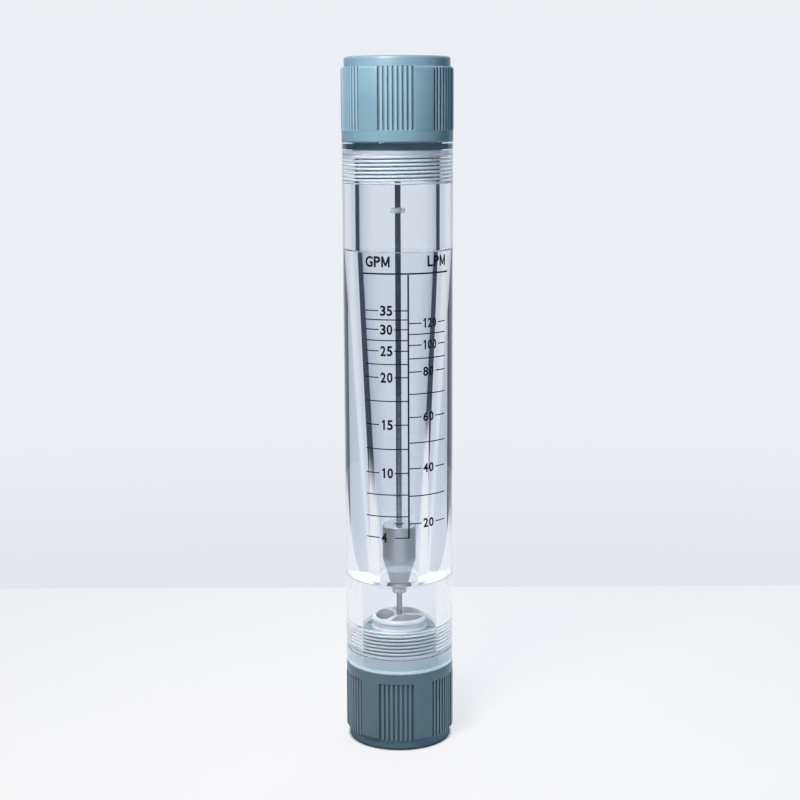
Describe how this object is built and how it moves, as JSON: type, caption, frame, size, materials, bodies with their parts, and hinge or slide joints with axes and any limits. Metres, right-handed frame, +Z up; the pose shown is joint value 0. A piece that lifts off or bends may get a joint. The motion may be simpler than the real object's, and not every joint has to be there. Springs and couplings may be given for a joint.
{
  "type": "in-line variable area flow meter",
  "caption": "Clear tapered-bore tube with a scale, a steel float on a guide rod between stop rings, and ribbed screw-in end fittings with pipe ports.",
  "frame": {"origin": "middle of the lower end face, on the tube's axis", "axes": "+Z up along the tube's axis, in the direction of flow; the scale faces -Y"},
  "size_m": [0.06, 0.0596, 0.376],
  "materials": {
    "clear_tube": "clear polished acrylic",
    "fitting": "blue-grey moulded plastic, satin",
    "seal": "smooth dark rubber",
    "guide": "white moulded plastic",
    "rod_steel": "bright drawn stainless steel",
    "float_steel": "turned stainless steel",
    "stop": "translucent plastic"
  },
  "bodies": {
    "base": {"bottom_fitting": "fitting", "bottom_guide": "guide", "guide_rod": "rod_steel", "lower_stop_ring": "stop", "upper_stop_ring": "stop"},
    "lower_seal": {"bottom_seal_ring": "seal"},
    "tube": {"metering_tube": "clear_tube"},
    "upper_seal": {"top_seal_ring": "seal"},
    "top": {"top_fitting": "fitting", "top_guide": "guide"},
    "float": {"float": "float_steel"}
  },
  "joints": [
    {"name": "float_slide", "type": "slide", "parent": "base", "child": "float", "axis": [0, 0, 1], "range_m": [0, 0.171]},
    {"name": "tube_turn", "type": "hinge", "parent": "base", "child": "lower_seal", "pos_m": [0, 0, 0.047], "axis": [0, 0, 1], "range_deg": [0, 2160]},
    {"name": "tube_rise", "type": "slide", "parent": "lower_seal", "child": "tube", "axis": [0, 0, 1], "range_m": [0, 0.012]},
    {"name": "top_fitting_rise", "type": "slide", "parent": "tube", "child": "upper_seal", "axis": [0, 0, 1], "range_m": [0, 0.012]},
    {"name": "top_fitting_turn", "type": "hinge", "parent": "upper_seal", "child": "top", "pos_m": [0, 0, 0.329], "axis": [0, 0, 1], "range_deg": [0, 2160]}
  ],
  "couplings": [
    {"joint": "tube_rise", "follows": "tube_turn", "m_per_rad": 0.0003183},
    {"joint": "top_fitting_rise", "follows": "top_fitting_turn", "m_per_rad": 0.0003183}
  ]
}
